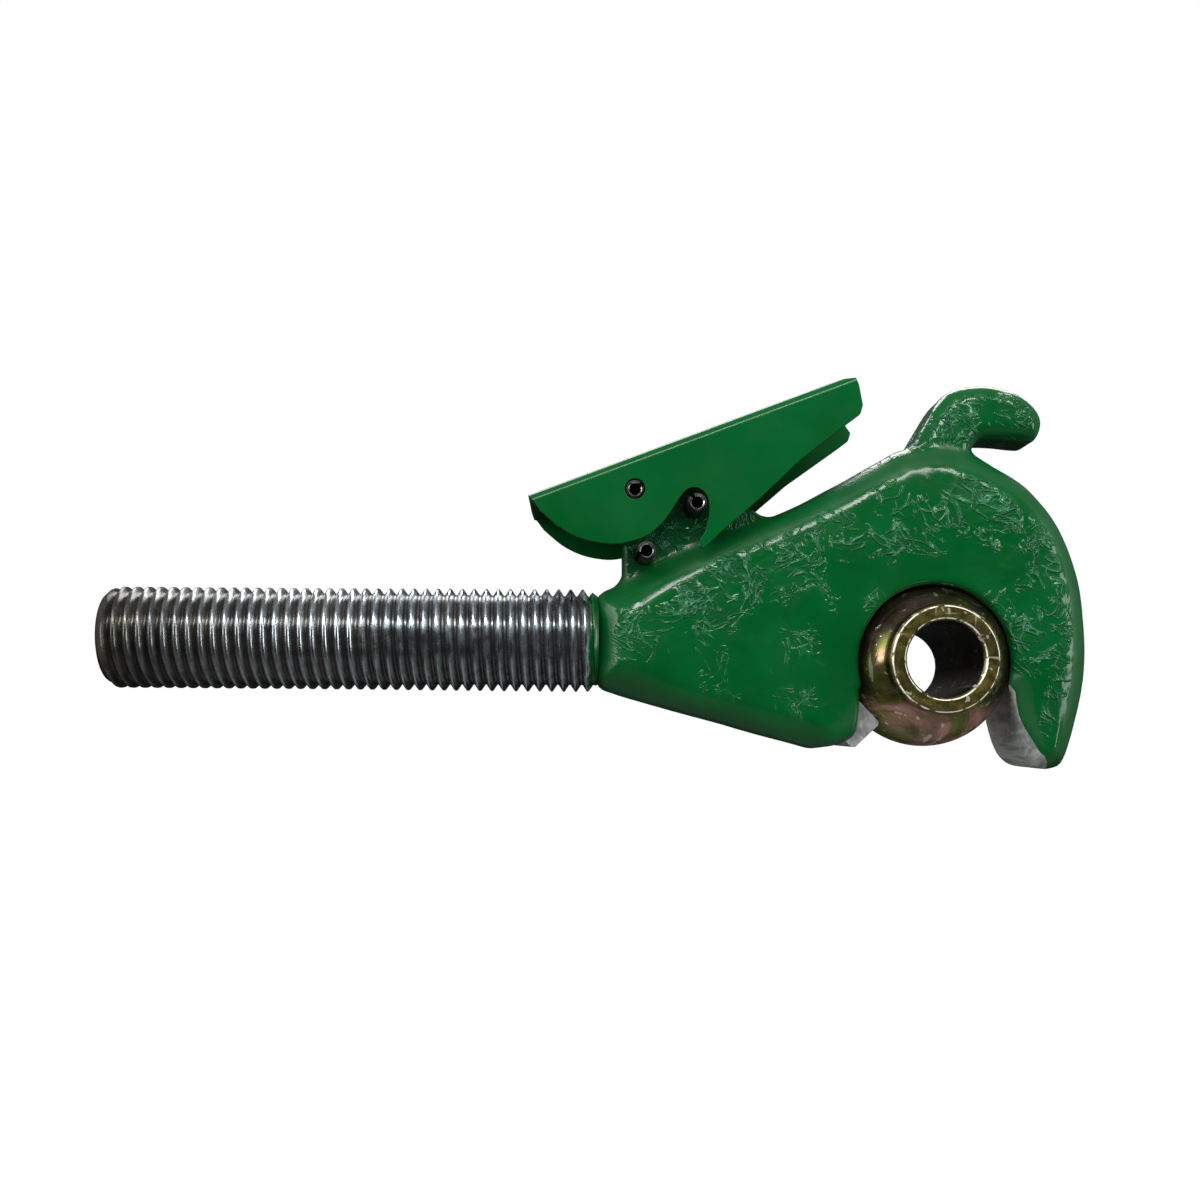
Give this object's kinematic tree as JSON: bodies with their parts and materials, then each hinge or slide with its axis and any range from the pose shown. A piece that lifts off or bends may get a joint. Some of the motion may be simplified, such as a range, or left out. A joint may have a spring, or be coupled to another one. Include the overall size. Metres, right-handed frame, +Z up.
{
  "type": "top link hook end",
  "caption": "Tractor top link quick hook: threaded shank, forged hook, swivelling ball with pin bore, sprung latch and release lever.",
  "frame": {"origin": "centre of the ball, which is the middle of its pin bore", "axes": "+Y along the ball's pin bore, +X from the threaded shank towards the hook's back, +Z up, away from the jaw's mouth"},
  "size_m": [0.2558, 0.044, 0.0987],
  "materials": {
    "green_paint_forging": "thick glossy enamel over a rough forging",
    "green_paint_sheet": "smooth glossy enamel on bent sheet",
    "zinc_steel": "zinc plated thread, oily and dark in the roots",
    "yellow_zinc": "yellow chromate over zinc, with pink and green tints",
    "bare_steel": "bare machined steel",
    "spring_steel": "dark oiled spring wire",
    "black_steel": "blackened roll pin"
  },
  "bodies": {
    "root": {"hook_body": "green_paint_forging", "threaded_shank": "zinc_steel", "upper_lug_pin": "black_steel", "lower_lug_pin": "black_steel", "latch_spring": "spring_steel"},
    "latch": {"latch_bar": "bare_steel", "lever_pivot_pin": "black_steel"},
    "lever": {"release_lever": "green_paint_sheet"},
    "ball": {"hitch_ball": "yellow_zinc"}
  },
  "joints": [
    {"name": "latch_slide", "type": "slide", "parent": "root", "child": "latch", "axis": [-0.6947, 0, 0.7193], "range_m": [0, 0.0105], "stiffness_N_per_m": 1500, "springref_m": -0.006, "deforming": ["latch_spring"]},
    {"name": "lever_turn", "type": "hinge", "parent": "latch", "child": "lever", "pos_m": [-0.0772, 0, 0.0427], "axis": [0, -1, 0], "range_deg": [0, 90]},
    {"name": "ball_tilt", "type": "hinge", "parent": "root", "child": "ball", "pos_m": [0, 0, 0], "axis": [1, 0, 0], "range_deg": [-15, 15]}
  ],
  "couplings": [
    {"joint": "latch_slide", "follows": "lever_turn", "m_per_rad": 0.00668}
  ]
}
